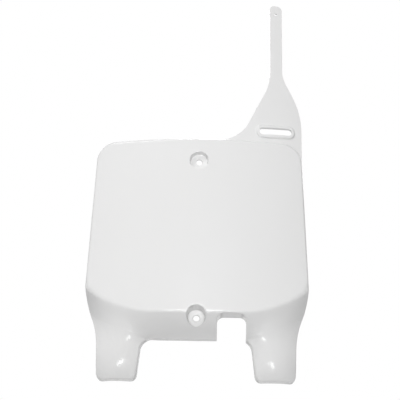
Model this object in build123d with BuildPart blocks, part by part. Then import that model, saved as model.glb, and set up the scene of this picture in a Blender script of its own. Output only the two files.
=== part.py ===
"""Racing number board: one moulded shell with a bar strap, two bolt pockets and two fork shields.

The origin is the upper bolt hole, on the seat behind its pocket. +Z is up, the number face looks to -Y.
"""
import math
import os

from build123d import *

# Wall and rim
WALL = 2.4
RIM_DEPTH = 10.0
EDGE_ROUND = 3.4

# Bolt pockets
BOLT_SPACING = 168.0
BOLT_HOLE_D = 6.6
POCKET_MOUTH_D = 20.0
POCKET_FLOOR_D = 18.0
UPPER_POCKET_DEPTH = 7.0
LOWER_POCKET_DEPTH = 18.0

# Number face, bent about an upright axis behind it
FACE_RADIUS = 370.0
TOP_Z = 25.4
TOP_HALF = 110.2
TOP_CORNER = 21.0
WIDEST_HALF = 116.2
WIDEST_Z = -133.0

# Crease along the foot of the face: level in the middle, swept up at the sides
CREASE_Z = -165.0
CREASE_FLAT = 80.0
CREASE_SWEEP = 41.5

# Band below the crease, turned back and curling further back as it drops
BAND_EDGE_Z = -187.0
BAND_TILT = 40.0
BAND_CURL = 0.0226
BAND_CURL_END = 30.0

# Fork shields: they lean back, flare at both ends, are crowned across and turn to face ahead
LEG_RIDGE_X = 80.5
LEG_LEAN = 18.0
LEG_FLARE = 36.0
LEG_WAIST = 35.0
LEG_CROWN = 48.0
LEG_TURN = 8.0
LEG_BLEND = 12.0
LEG_OUTER = 104.0
LEG_OUTER_Z = -195.0
LEG_INNER_TOP = 56.0
LEG_INNER_END = 61.5
LEG_END_Z = -228.8
LEG_END_RISE = 2.4
LEG_CORNER = 7.0
LEG_WEB = 13.0

# Cable notch, with a lip around it inside the shell
NOTCH_LEFT = 21.3
NOTCH_RIGHT = 51.3
NOTCH_TOP_Z = -165.3
NOTCH_CORNER = 7.0
NOTCH_LIP_DEPTH = 25.0

# Bar strap, a sheet that follows the bend of the face behind its rolled edge
STRAP_STEP = 5.0
STRAP_X = 83.5
STRAP_WIDTH = 13.8
STRAP_TOP_Z = 196.4
STRAP_TIP_ROUND = 6.2
STRAP_ROOT_X = 42.0
STRAP_ROOT_ROUND = 40.0
STRAP_NECK_Z = 97.0
STRAP_NECK_ROUND = 60.0
STRAP_FLARE_Z = 106.0
STRAP_FLARE_ROUND = 34.0
STRAP_SHOULDER_X = 111.2
STRAP_SHOULDER_Z = 66.0
STRAP_SHOULDER_ROUND = 90.0
STRAP_HOLE_D = 3.0
STRAP_HOLE_DROP = 11.0

# Slot in the strap's root, inside a raised bead
SLOT_X = 82.4
SLOT_Z = 39.9
SLOT_LENGTH = 35.5
SLOT_WIDTH = 8.0
SLOT_CORNER = 3.6
SLOT_TURN = 3.0
BEAD_WIDTH = 3.6
BEAD_HEIGHT = 1.6
BEAD_BEVEL = 1.1

# Reach of the cutting and trimming solids past the shell, and the sections of the chin's loft
REACH = 60.0
STATIONS = 12
DROP_SHARES = (-0.2, 0, 0.2, 0.55, 1)

FACE_Y = -(UPPER_POCKET_DEPTH + WALL)
THROUGH = 3 * REACH
FRONT_PLANE = Plane.XZ.offset(REACH)
CREASE_BEND = (WIDEST_HALF - CREASE_FLAT / 2) / math.sin(math.radians(CREASE_SWEEP))


def face_sag(x):
    """Depth of the bent face behind its middle line."""
    return FACE_RADIUS - math.sqrt(FACE_RADIUS**2 - x**2)


def crease_height(x):
    """Height of the crease: a level stretch between two arcs."""
    run = max(0.0, abs(x) - CREASE_FLAT / 2)
    return CREASE_Z + CREASE_BEND - math.sqrt(CREASE_BEND**2 - run**2)


def chin_depth(x, drop):
    """Depth behind the face at a drop below the crease: the band, with a shield standing out of it."""
    curl = min(max(drop, 0.0), BAND_CURL_END)
    band = drop * math.tan(math.radians(BAND_TILT)) + BAND_CURL * curl * (2 * drop - curl)
    lean = math.tan(math.radians(LEG_LEAN))
    flare = math.tan(math.radians(LEG_FLARE)) - lean
    side = abs(x) - LEG_RIDGE_X
    shield = lean * drop + flare * ((drop - LEG_WAIST) ** 3 + LEG_WAIST**3) / (3 * LEG_WAIST**2)
    shield += side**2 / (2 * LEG_CROWN)
    shield -= side * math.tan(math.radians(LEG_TURN)) * max(drop, 0.0) / (2 * LEG_WAIST)
    blend = WALL / 8 + LEG_BLEND * max(drop, 0.0) ** 2 / (drop**2 + LEG_BLEND**2)
    mix = max(blend - abs(band - shield), 0.0) / blend
    return min(band, shield) - mix**2 * blend / 4


def skin_y(x, z):
    """Y of the chin's outer skin."""
    return FACE_Y + face_sag(x) + chin_depth(x, crease_height(x) - z)


def chin_section(x, drops, inset):
    """Side-view points of the chin's skin at one station, moved in along its normal by the inset."""
    points = []
    for drop in drops:
        z = crease_height(x) - drop
        slope_x = skin_y(x + 0.5, z) - skin_y(x - 0.5, z)
        slope_z = skin_y(x, z + 0.5) - skin_y(x, z - 0.5)
        points.append(Vector(skin_y(x, z) + inset * math.sqrt(1 + slope_x**2 + slope_z**2), z))
    return points


def body_behind(inset):
    """Everything behind the bent face and the chin's lofted skin, with both moved in by the inset."""
    edge_x = WIDEST_HALF + EDGE_ROUND + WALL
    deepest = crease_height(edge_x) - LEG_END_Z
    drops = [share * deepest for share in DROP_SHARES]
    spans = [(drop - drops[0]) / (drops[-1] - drops[0]) for drop in drops]
    back = 4 * REACH
    above = TOP_Z + REACH
    with BuildPart() as behind:
        for station in range(-STATIONS, STATIONS + 1):
            x = edge_x * station / STATIONS
            points = chin_section(x, drops, inset)
            with BuildSketch(Plane.YZ.offset(x)):
                with BuildLine():
                    add(Edge.make_spline(points, parameters=spans))
                    Polyline(
                        points[-1],
                        (back, points[-1].Y),
                        (back, above),
                        (points[0].X, above),
                        points[0],
                    )
                make_face()
        loft()
        with BuildSketch(Plane.XY.offset(LEG_END_Z - REACH)):
            with Locations((0, FACE_Y + FACE_RADIUS)):
                Circle(FACE_RADIUS - inset)
        extrude(amount=above - LEG_END_Z + 2 * REACH, mode=Mode.INTERSECT)
    return behind.part


def board_outline(inset):
    """Front outline of the board and the fork shields, drawn in by the inset."""
    tuck = WIDEST_HALF - LEG_OUTER
    tuck_arc = (tuck**2 + (WIDEST_Z - LEG_OUTER_Z) ** 2) / (4 * tuck)
    tuck_mid = ((WIDEST_HALF + LEG_OUTER) / 2, (WIDEST_Z + LEG_OUTER_Z) / 2)
    corners = (
        (TOP_HALF, TOP_Z, TOP_CORNER),
        (LEG_OUTER, LEG_END_Z + LEG_END_RISE, LEG_CORNER),
        (LEG_INNER_END, LEG_END_Z, LEG_CORNER),
        (LEG_INNER_TOP, BAND_EDGE_Z, LEG_WEB),
    )
    top, leg_outer, leg_inner, web = [(x, z) for x, z, _ in corners]
    with BuildSketch(FRONT_PLANE) as outline:
        with BuildLine():
            Polyline((0, TOP_Z), top, (WIDEST_HALF, WIDEST_Z))
            RadiusArc((WIDEST_HALF, WIDEST_Z), tuck_mid, tuck_arc)
            RadiusArc(tuck_mid, (LEG_OUTER, LEG_OUTER_Z), -tuck_arc)
            Polyline((LEG_OUTER, LEG_OUTER_Z), leg_outer, leg_inner, web, (0, BAND_EDGE_Z))
            mirror(about=Plane.YZ)
        make_face()
        for x, z, radius in corners:
            for side in (1, -1):
                fillet(vertices().sort_by_distance((side * x, z))[0], radius)
        if inset:
            offset(amount=-inset, mode=Mode.REPLACE)
    return outline.sketch


def deep_block(inset):
    """Board and shields as one deep block, drawn in on all sides by the inset."""
    with BuildPart() as block:
        add(body_behind(inset))
        extrude(board_outline(inset), amount=-THROUGH, mode=Mode.INTERSECT)
    return block.part


def rounded_block():
    """The outer block, with the crease and all its front edges rounded alike."""
    with BuildPart() as block:
        add(deep_block(0))
        front = edges() - edges().filter_by(Axis.Y) - edges().group_by(Axis.Y)[-1]
        fillet(front, EDGE_ROUND)
    return block.part


def bent_sheet(step, thickness):
    """Upright sheet that follows the bend of the face, its front a step behind it."""
    with BuildPart() as sheet:
        with BuildSketch(Plane.XY.offset(TOP_Z - REACH)):
            with Locations((0, FACE_Y + FACE_RADIUS)):
                Circle(FACE_RADIUS - step)
                Circle(FACE_RADIUS - step - thickness, mode=Mode.SUBTRACT)
        extrude(amount=STRAP_TOP_Z + 2 * REACH)
    return sheet.part


def slot_outline(grow):
    """Round-ended slot in the strap's root, grown on all sides."""
    with BuildSketch(FRONT_PLANE) as slot:
        with Locations((SLOT_X, SLOT_Z)):
            RectangleRounded(
                SLOT_LENGTH + 2 * grow,
                SLOT_WIDTH + 2 * grow,
                SLOT_CORNER + grow,
                rotation=SLOT_TURN,
            )
    return slot.sketch


def slot_bead():
    """Raised bead around the slot, bevelled along its crest."""
    with BuildPart() as bead:
        extrude(slot_outline(BEAD_WIDTH), amount=-THROUGH)
        add(bent_sheet(STRAP_STEP - BEAD_HEIGHT, WALL / 2 + BEAD_HEIGHT), mode=Mode.INTERSECT)
        extrude(slot_outline(0), amount=-THROUGH, mode=Mode.SUBTRACT)
        chamfer(faces().sort_by(Axis.Y)[0].edges(), BEAD_BEVEL)
    return bead.part


def strap_outline():
    """Strap and its root, which spreads over the board's upper right corner."""
    left = STRAP_X - STRAP_WIDTH / 2
    right = STRAP_X + STRAP_WIDTH / 2
    under = TOP_Z - 2 * TOP_CORNER
    bends = (
        (STRAP_ROOT_X, TOP_Z, STRAP_ROOT_ROUND),
        (left, STRAP_NECK_Z, STRAP_NECK_ROUND),
        (left, STRAP_TOP_Z, STRAP_TIP_ROUND),
        (right, STRAP_TOP_Z, STRAP_TIP_ROUND),
        (right, STRAP_FLARE_Z, STRAP_FLARE_ROUND),
        (STRAP_SHOULDER_X, STRAP_SHOULDER_Z, STRAP_SHOULDER_ROUND),
    )
    with BuildSketch(FRONT_PLANE) as strap:
        with BuildLine():
            Polyline(
                (0, TOP_Z),
                *[(x, z) for x, z, _ in bends],
                (STRAP_SHOULDER_X, under),
                (0, under),
                close=True,
            )
        make_face()
        for x, z, radius in bends:
            fillet(vertices().sort_by_distance((x, z))[0], radius)
    return strap.sketch


def strap_sheet():
    """Strap with its slot, bead and tip hole."""
    with BuildPart() as strap:
        extrude(strap_outline(), amount=-THROUGH)
        add(bent_sheet(STRAP_STEP, WALL), mode=Mode.INTERSECT)
        add(slot_bead())
        extrude(slot_outline(0), amount=-THROUGH, mode=Mode.SUBTRACT)
        with Locations(FRONT_PLANE * Pos(STRAP_X, STRAP_TOP_Z - STRAP_HOLE_DROP)):
            Hole(STRAP_HOLE_D / 2)
    return strap.part


def pocket(z, depth):
    """Tapered plug that cuts a bolt pocket, from ahead of the face to the pocket's floor."""
    floor_y = FACE_Y + depth
    ahead_y = FACE_Y - EDGE_ROUND
    taper = (POCKET_MOUTH_D - POCKET_FLOOR_D) / 2 / depth
    ahead_r = POCKET_FLOOR_D / 2 + taper * (floor_y - ahead_y)
    with BuildPart() as plug:
        with BuildSketch(Plane.XY.offset(z)):
            with BuildLine():
                Polyline(
                    (0, ahead_y),
                    (ahead_r, ahead_y),
                    (POCKET_FLOOR_D / 2, floor_y),
                    (0, floor_y),
                    close=True,
                )
            make_face()
        revolve(axis=Axis((0, 0, z), (0, 1, 0)))
    return plug.part


def notch_outline(grow):
    """Cable notch, open at the bottom, grown by a wall if asked."""
    with BuildSketch(FRONT_PLANE) as notch:
        with BuildLine():
            Polyline(
                (NOTCH_LEFT - grow, LEG_END_Z),
                (NOTCH_LEFT - grow, NOTCH_TOP_Z + grow),
                (NOTCH_RIGHT + grow, NOTCH_TOP_Z + grow),
                (NOTCH_RIGHT + grow, LEG_END_Z),
                close=True,
            )
        make_face()
        fillet(vertices().group_by(Axis.Y)[-1], NOTCH_CORNER + grow)
    return notch.sketch


pockets = ((0, UPPER_POCKET_DEPTH), (-BOLT_SPACING, LOWER_POCKET_DEPTH))
behind_rim = Pos(0, RIM_DEPTH, 0) * body_behind(0)

# Cups around the pockets and the notch's lip, which stand inside the shell
with BuildPart() as inner_walls:
    for height, depth in pockets:
        with BuildSketch(Plane.XZ.offset(-(FACE_Y + depth + WALL))):
            with Locations((0, height)):
                Circle(POCKET_MOUTH_D / 2 + WALL)
        extrude(amount=depth + WALL)
    extrude(notch_outline(WALL), amount=-(REACH + FACE_Y + NOTCH_LIP_DEPTH))
    add(deep_block(WALL / 2), mode=Mode.INTERSECT)

with BuildPart() as number_board:
    add(rounded_block())
    add(behind_rim, mode=Mode.SUBTRACT)
    add(strap_sheet())
    add(deep_block(WALL), mode=Mode.SUBTRACT)
    add(inner_walls.part)
    extrude(notch_outline(0), amount=-THROUGH, mode=Mode.SUBTRACT)
    for height, depth in pockets:
        add(pocket(height, depth), mode=Mode.SUBTRACT)
        with Locations(Plane.XZ * Pos(0, height)):
            Hole(BOLT_HOLE_D / 2)

number_board.part.label = "number_board"
os.makedirs("parts", exist_ok=True)
export_step(number_board.part, "parts/number_board.step")
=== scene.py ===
"""Racing number board: the moulded plastic, the studio and the camera of the photograph."""
import math

import bpy
from mathutils import Matrix, Vector

# Camera: its aim and distance in metres, how it is turned in degrees, and its lens
AIM = Vector((0.00174, -0.0094, -0.0453))
CAMERA_DISTANCE = 1.1
CAMERA_BELOW = 20.0
CAMERA_YAW = -0.86
CAMERA_ROLL = 1.1
LENS_MM = 94.3
SENSOR_MM = 36

# Round soft lamps that point at the board: place and width in metres, power in watts
LAMPS = {
    "key": (Vector((0.0, -2.00, -0.24)), 0.9, 17.6),
    "top": (Vector((-0.80, -1.25, 1.37)), 1.0, 13.2),
    "glint": (Vector((0.0, -1.15, -1.00)), 0.21, 1.3),
    "back": (Vector((0.0, 0.50, -0.55)), 0.6, 0.55),
    "rear": (Vector((0.50, 1.60, 1.30)), 1.4, 32.0),
}

# Room light on the object, and the floor: its height and size in metres, its grey and its glow when seen
WHITE = (1, 1, 1, 1)
ROOM_LIGHT = 0.28
FLOOR_Z = -1.1
FLOOR_SIZE = 60
FLOOR_COLOUR = (0.45, 0.45, 0.45, 1)
FLOOR_ROUGHNESS = 0.7
FLOOR_GLOW = 0.31

# White plastic: its tints, the range of its gloss and the part of a noise's range that is used
TINTS = ((0.86, 0.86, 0.86, 1), (0.852, 0.851, 0.848, 1))
ROUGHNESS = (0.13, 0.18)
PLASTIC_IOR = 1.49
NOISE_RANGE = (0.3, 0.7)

# Noises of the plastic: grains per metre and detail
CLOUD_NOISE = (9, 2)
FLOW_NOISE = (60, 4)
RIPPLE_NOISE = (90, 2)
GRAIN_NOISE = (2600, 2)

# Bumps of the plastic: strength, and the height in metres that a value of 1 stands for
FORM_BUMP = (1, 1)
RIPPLE_BUMP = (0.03, 0.0004)
GRAIN_BUMP = (0.05, 0.00006)

# Crease under the face as the solid has it, in metres: a level stretch, and a bend up on either side
CREASE_Z = -0.165
CREASE_FLAT = 0.08
CREASE_BEND = 0.115

# Rounding of the shading, in metres: more along the crease, most at its sides, and a little at every edge
CREASE_NEAR = (0.006, 0.016)
CREASE_SIDE = (0.055, 0.085)
CREASE_SOFT = (0.0025, 0.009)
EDGE_SOFT = 0.0006
EDGE_SAMPLES = 8

# Band between the shields: where it is, the slope that it starts with and how fast that turns down
BAND_SIDE = (0.046, 0.072)
BAND_FACING = (-0.55, -0.4)
BAND_DEPTH = 0.024
BAND_LIFT = 0.30
BAND_CURL = 33.0

# Fork shields: where they are, how they swell below the crease and how their feet turn ahead
SHIELD_SIDE = (0.048, 0.060)
SHIELD_RIDGE = 0.0805
SHIELD_HALF = 0.013
SWELL_TOP = 0.012
SWELL_SPAN = 0.057
SWELL_SLOPE = 0.08
FOOT_TOP = 0.021
FOOT_TURN = 8.0

# Smooth shading of the moulding: points nearer than this in metres are one, and steeper edges stay sharp
WELD_GAP = 0.00002
SHARP_DEGREES = 32

# Sockets of a Mix node that hold its colours
MIX_INPUTS = (6, 7)
MIX_OUTPUT = 2

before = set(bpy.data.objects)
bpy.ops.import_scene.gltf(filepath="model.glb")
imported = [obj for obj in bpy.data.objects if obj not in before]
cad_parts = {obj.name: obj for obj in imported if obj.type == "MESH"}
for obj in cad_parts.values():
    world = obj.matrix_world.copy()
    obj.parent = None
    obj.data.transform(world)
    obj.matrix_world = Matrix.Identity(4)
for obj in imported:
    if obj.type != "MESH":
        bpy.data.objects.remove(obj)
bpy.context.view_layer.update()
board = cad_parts["number_board"]


def connect(tree, value, socket):
    """Links the socket where the value is a socket too, or else sets it."""
    if isinstance(value, bpy.types.NodeSocket):
        tree.links.new(value, socket)
    else:
        socket.default_value = value


def add_node(tree, kind, **inputs):
    """A node whose named inputs are set or linked."""
    node = tree.nodes.new(kind)
    for name, value in inputs.items():
        connect(tree, value, node.inputs[name.replace("_", " ")])
    return node


def maths(tree, operation, first, second=0.0):
    """The result of a Math node on two values or sockets."""
    node = tree.nodes.new("ShaderNodeMath")
    node.operation = operation
    connect(tree, first, node.inputs[0])
    connect(tree, second, node.inputs[1])
    return node.outputs[0]


def spread(tree, value, span, low, high, kind="LINEAR"):
    """A change from low to high as the value passes the span."""
    start, end = span
    node = add_node(
        tree, "ShaderNodeMapRange", Value=value, From_Min=start, From_Max=end, To_Min=low, To_Max=high
    )
    node.interpolation_type = kind
    return node.outputs["Result"]


def blend(tree, value, span, low, high):
    """A smooth change from low to high as the value passes the span."""
    return spread(tree, value, span, low, high, "SMOOTHSTEP")


def noise(tree, where, scale, detail):
    """The value of a noise of that many grains per metre."""
    return add_node(tree, "ShaderNodeTexNoise", Vector=where, Scale=scale, Detail=detail).outputs["Fac"]


def bump(tree, height, normal, strength, distance):
    """The normal turned as the height asks."""
    node = add_node(
        tree, "ShaderNodeBump", Strength=strength, Distance=distance, Height=height, Normal=normal
    )
    return node.outputs["Normal"]


def crease_drop(tree, aside, height):
    """How far a point lies below the crease under the face."""
    run = maths(tree, "MAXIMUM", maths(tree, "SUBTRACT", aside, CREASE_FLAT / 2), 0)
    run_squared = maths(tree, "MULTIPLY", run, run)
    fall = maths(tree, "SQRT", maths(tree, "SUBTRACT", CREASE_BEND**2, run_squared))
    crease = maths(tree, "SUBTRACT", CREASE_Z + CREASE_BEND, fall)
    return maths(tree, "SUBTRACT", crease, height)


def soft_edges(tree, aside, drop):
    """Normal that rounds every edge a little and the crease more, most at its sides, where it fades."""
    near = blend(tree, maths(tree, "ABSOLUTE", drop), CREASE_NEAR, 1, 0)
    radius = maths(tree, "MULTIPLY", near, blend(tree, aside, CREASE_SIDE, *CREASE_SOFT))
    bevel = add_node(tree, "ShaderNodeBevel", Radius=maths(tree, "MAXIMUM", radius, EDGE_SOFT))
    bevel.samples = EDGE_SAMPLES
    return bevel.outputs["Normal"]


def band_curl(tree, aside, drop):
    """Height in metres that curls the band down towards its lower edge, between the shields."""
    true_normal = tree.nodes.new("ShaderNodeNewGeometry").outputs["True Normal"]
    facing = add_node(tree, "ShaderNodeSeparateXYZ", Vector=true_normal).outputs["Z"]
    turned_down = blend(tree, facing, BAND_FACING, 1, 0)
    on_band = maths(tree, "MULTIPLY", turned_down, blend(tree, aside, BAND_SIDE, 1, 0))
    below = maths(tree, "MINIMUM", maths(tree, "MAXIMUM", drop, 0), BAND_DEPTH)
    slope = maths(tree, "SUBTRACT", BAND_LIFT, maths(tree, "MULTIPLY", below, BAND_CURL / 2))
    return maths(tree, "MULTIPLY", maths(tree, "MULTIPLY", slope, below), on_band)


def shield_swell(tree, aside, drop):
    """Height in metres that stands the shields up at mid-height and turns their feet to face ahead."""
    along = maths(tree, "MULTIPLY", maths(tree, "SUBTRACT", drop, SWELL_TOP), 2 * math.pi / SWELL_SPAN)
    turn = maths(tree, "MINIMUM", maths(tree, "MAXIMUM", along, 0), 2 * math.pi)
    rise = maths(tree, "SUBTRACT", turn, maths(tree, "SINE", turn))
    swell = maths(tree, "MULTIPLY", rise, SWELL_SLOPE * SWELL_SPAN / (4 * math.pi))
    below = maths(tree, "MAXIMUM", maths(tree, "SUBTRACT", drop, FOOT_TOP), 0)
    foot = maths(tree, "MULTIPLY", below, FOOT_TURN)
    side = maths(tree, "MULTIPLY", maths(tree, "SUBTRACT", aside, SHIELD_RIDGE), 1 / SHIELD_HALF)
    twist = maths(tree, "MULTIPLY", maths(tree, "MULTIPLY", foot, SHIELD_HALF), maths(tree, "TANH", side))
    on_shield = blend(tree, aside, SHIELD_SIDE, 0, 1)
    return maths(tree, "MULTIPLY", maths(tree, "ADD", swell, twist), on_shield)


def new_material(name):
    """A new material, its node tree and its shader."""
    material = bpy.data.materials.new(name)
    material.use_nodes = True
    tree = material.node_tree
    return material, tree, tree.nodes["Principled BSDF"]


def white_plastic():
    """Moulded white plastic: faint clouding, flow marks in the gloss, ripples and a fine grain."""
    material, tree, shader = new_material("white_plastic")
    where = tree.nodes.new("ShaderNodeTexCoord").outputs["Object"]
    axes = add_node(tree, "ShaderNodeSeparateXYZ", Vector=where).outputs
    aside = maths(tree, "ABSOLUTE", axes["X"])
    drop = crease_drop(tree, aside, axes["Z"])

    clouds = spread(tree, noise(tree, where, *CLOUD_NOISE), NOISE_RANGE, 0, 1)
    tint = add_node(tree, "ShaderNodeMix", Factor=clouds)
    tint.data_type = "RGBA"
    for index, colour in zip(MIX_INPUTS, TINTS):
        tint.inputs[index].default_value = colour
    tree.links.new(tint.outputs[MIX_OUTPUT], shader.inputs["Base Color"])

    gloss = spread(tree, noise(tree, where, *FLOW_NOISE), NOISE_RANGE, *ROUGHNESS)
    tree.links.new(gloss, shader.inputs["Roughness"])
    shader.inputs["IOR"].default_value = PLASTIC_IOR

    form = maths(tree, "ADD", band_curl(tree, aside, drop), shield_swell(tree, aside, drop))
    normal = bump(tree, form, soft_edges(tree, aside, drop), *FORM_BUMP)
    normal = bump(tree, noise(tree, where, *RIPPLE_NOISE), normal, *RIPPLE_BUMP)
    normal = bump(tree, noise(tree, where, *GRAIN_NOISE), normal, *GRAIN_BUMP)
    tree.links.new(normal, shader.inputs["Normal"])
    return material


def seen_directly(tree):
    """1 for a ray from the camera or a reflection, 0 for light on the object."""
    path = tree.nodes.new("ShaderNodeLightPath").outputs
    mirrored = maths(tree, "MAXIMUM", path["Is Glossy Ray"], path["Is Transmission Ray"])
    return maths(tree, "MAXIMUM", path["Is Camera Ray"], mirrored)


def pale_floor():
    """Matt floor, paler where it is seen directly."""
    material, tree, shader = new_material("pale_floor")
    shader.inputs["Base Color"].default_value = FLOOR_COLOUR
    shader.inputs["Roughness"].default_value = FLOOR_ROUGHNESS
    shader.inputs["Emission Color"].default_value = WHITE
    glow = maths(tree, "MULTIPLY", seen_directly(tree), FLOOR_GLOW)
    tree.links.new(glow, shader.inputs["Emission Strength"])
    return material


def white_room():
    """World that is white where it is seen directly, and room light for the rest."""
    world = bpy.data.worlds.new("room")
    world.use_nodes = True
    tree = world.node_tree
    background = tree.nodes["Background"]
    background.inputs["Color"].default_value = WHITE
    level = spread(tree, seen_directly(tree), (0, 1), ROOM_LIGHT, 1)
    tree.links.new(level, background.inputs["Strength"])
    return world


def add_lamp(name, place, width, watts):
    """A round soft lamp that points at the board."""
    lamp = bpy.data.lights.new(name, "AREA")
    lamp.shape = "DISK"
    lamp.size = width
    lamp.energy = watts
    holder = bpy.data.objects.new(name, lamp)
    holder.location = place
    holder.rotation_euler = (AIM - place).to_track_quat("-Z", "Y").to_euler()
    bpy.context.collection.objects.link(holder)


def add_camera():
    """The camera of the photograph, which looks up at the board from a little below."""
    below, yaw, roll = (math.radians(angle) for angle in (CAMERA_BELOW, CAMERA_YAW, CAMERA_ROLL))
    ahead = Vector((math.sin(yaw) * math.cos(below), math.cos(yaw) * math.cos(below), math.sin(below)))
    level_right = Vector((math.cos(yaw), -math.sin(yaw), 0))
    level_up = level_right.cross(ahead)
    right = level_right * math.cos(roll) + level_up * math.sin(roll)
    up = level_up * math.cos(roll) - level_right * math.sin(roll)
    turn = Matrix((right, up, -ahead)).transposed().to_4x4()
    lens = bpy.data.cameras.new("camera")
    lens.lens = LENS_MM
    lens.sensor_width = SENSOR_MM
    camera = bpy.data.objects.new("camera", lens)
    camera.matrix_world = Matrix.Translation(AIM - ahead * CAMERA_DISTANCE) @ turn
    bpy.context.collection.objects.link(camera)
    return camera


# The moulding keeps its CAD shape: welded and shaded smooth where faces run into each other
board.data.materials.clear()
board.data.materials.append(white_plastic())
weld = board.modifiers.new("weld", "WELD")
weld.merge_threshold = WELD_GAP
split = board.modifiers.new("sharp_edges", "EDGE_SPLIT")
split.split_angle = math.radians(SHARP_DEGREES)
board.modifiers.new("even_shading", "WEIGHTED_NORMAL").keep_sharp = True

# Floor
bpy.ops.mesh.primitive_plane_add(size=FLOOR_SIZE, location=(0, 0, FLOOR_Z))
floor = bpy.context.object
floor.name = "floor"
floor.data.materials.append(pale_floor())

# Room, lamps and camera
scene = bpy.context.scene
scene.world = white_room()
for name, lamp in LAMPS.items():
    add_lamp(name, *lamp)
scene.camera = add_camera()
scene.view_settings.view_transform = "Standard"
